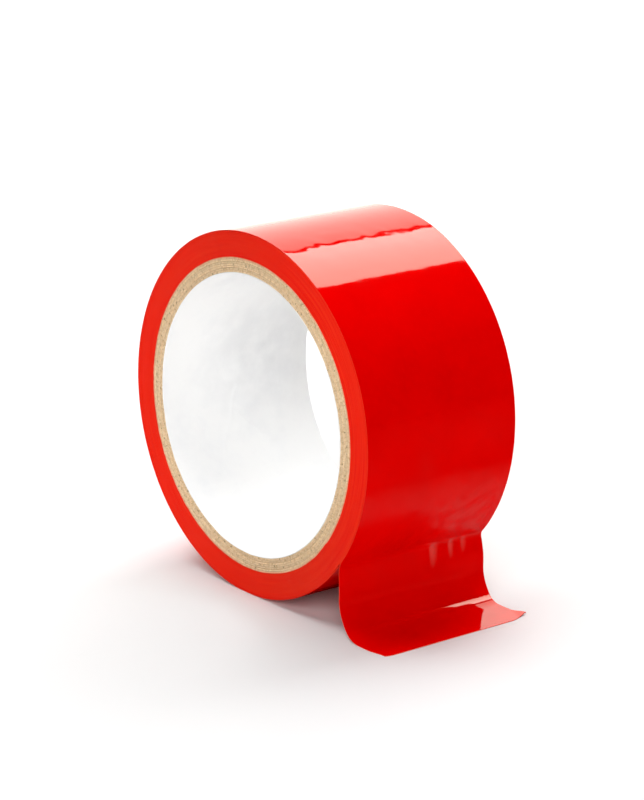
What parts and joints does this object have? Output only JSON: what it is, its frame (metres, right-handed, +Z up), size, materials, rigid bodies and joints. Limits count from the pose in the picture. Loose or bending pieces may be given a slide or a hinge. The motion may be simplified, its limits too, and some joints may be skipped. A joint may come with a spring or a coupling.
{
  "type": "adhesive tape roll",
  "caption": "Roll of glossy red duct tape on a laminated kraft paper core with a white liner; the free end of the tape is peeled back and curls out along the ground.",
  "frame": {"origin": "on the core's axis, at the middle of the roll's width", "axes": "+Y along the core's axis, away from the viewer's side face; +Z up; +X towards the side where the tape's free end lies"},
  "size_m": [0.1078, 0.05, 0.0989],
  "materials": {
    "liner_paper": "smooth white coated paper",
    "kraft_board": "fibrous uncoated kraft",
    "wound_tape": "slit tape edges, semi gloss",
    "vinyl_film": "mirror-gloss vinyl film",
    "adhesive_coat": "tacky clear coat over the red film"
  },
  "bodies": {
    "roll": {"core_liner": "liner_paper", "core_ply_1": "kraft_board", "core_ply_2": "kraft_board", "core_ply_3": "kraft_board", "core_ply_4": "kraft_board", "core_ply_5": "kraft_board", "core_ply_6": "kraft_board", "core_ply_7": "kraft_board", "tape_pack": "wound_tape"},
    "outer_turn": {"outer_turn_film": "vinyl_film", "outer_turn_adhesive": "adhesive_coat"},
    "tail_drop": {"tail_drop_film": "vinyl_film", "tail_drop_adhesive": "adhesive_coat"},
    "tail_bend": {"tail_bend_film": "vinyl_film", "tail_bend_adhesive": "adhesive_coat"},
    "tail_foot": {"tail_foot_film": "vinyl_film", "tail_foot_adhesive": "adhesive_coat"}
  },
  "joints": [
    {"name": "unwind", "type": "hinge", "parent": "roll", "child": "outer_turn", "pos_m": [0, 0, 0], "axis": [0, 1, 0], "continuous": true},
    {"name": "peel_lift", "type": "hinge", "parent": "outer_turn", "child": "tail_drop", "pos_m": [0.03868, 0, -0.03077], "axis": [0, -1, 0], "range_deg": [-30, 90], "stiffness_Nm_per_rad": 0.001},
    {"name": "tail_curl", "type": "hinge", "parent": "tail_drop", "child": "tail_bend", "pos_m": [0.03991, 0, -0.04473], "axis": [0, -1, 0], "range_deg": [-40, 10], "stiffness_Nm_per_rad": 0.001},
    {"name": "tail_tip_curl", "type": "hinge", "parent": "tail_bend", "child": "tail_foot", "pos_m": [0.04328, 0, -0.04809], "axis": [0, -1, 0], "range_deg": [-40, 10], "stiffness_Nm_per_rad": 0.001}
  ],
  "couplings": [
    {"joint": "tail_tip_curl", "follows": "tail_curl", "ratio": 1}
  ]
}
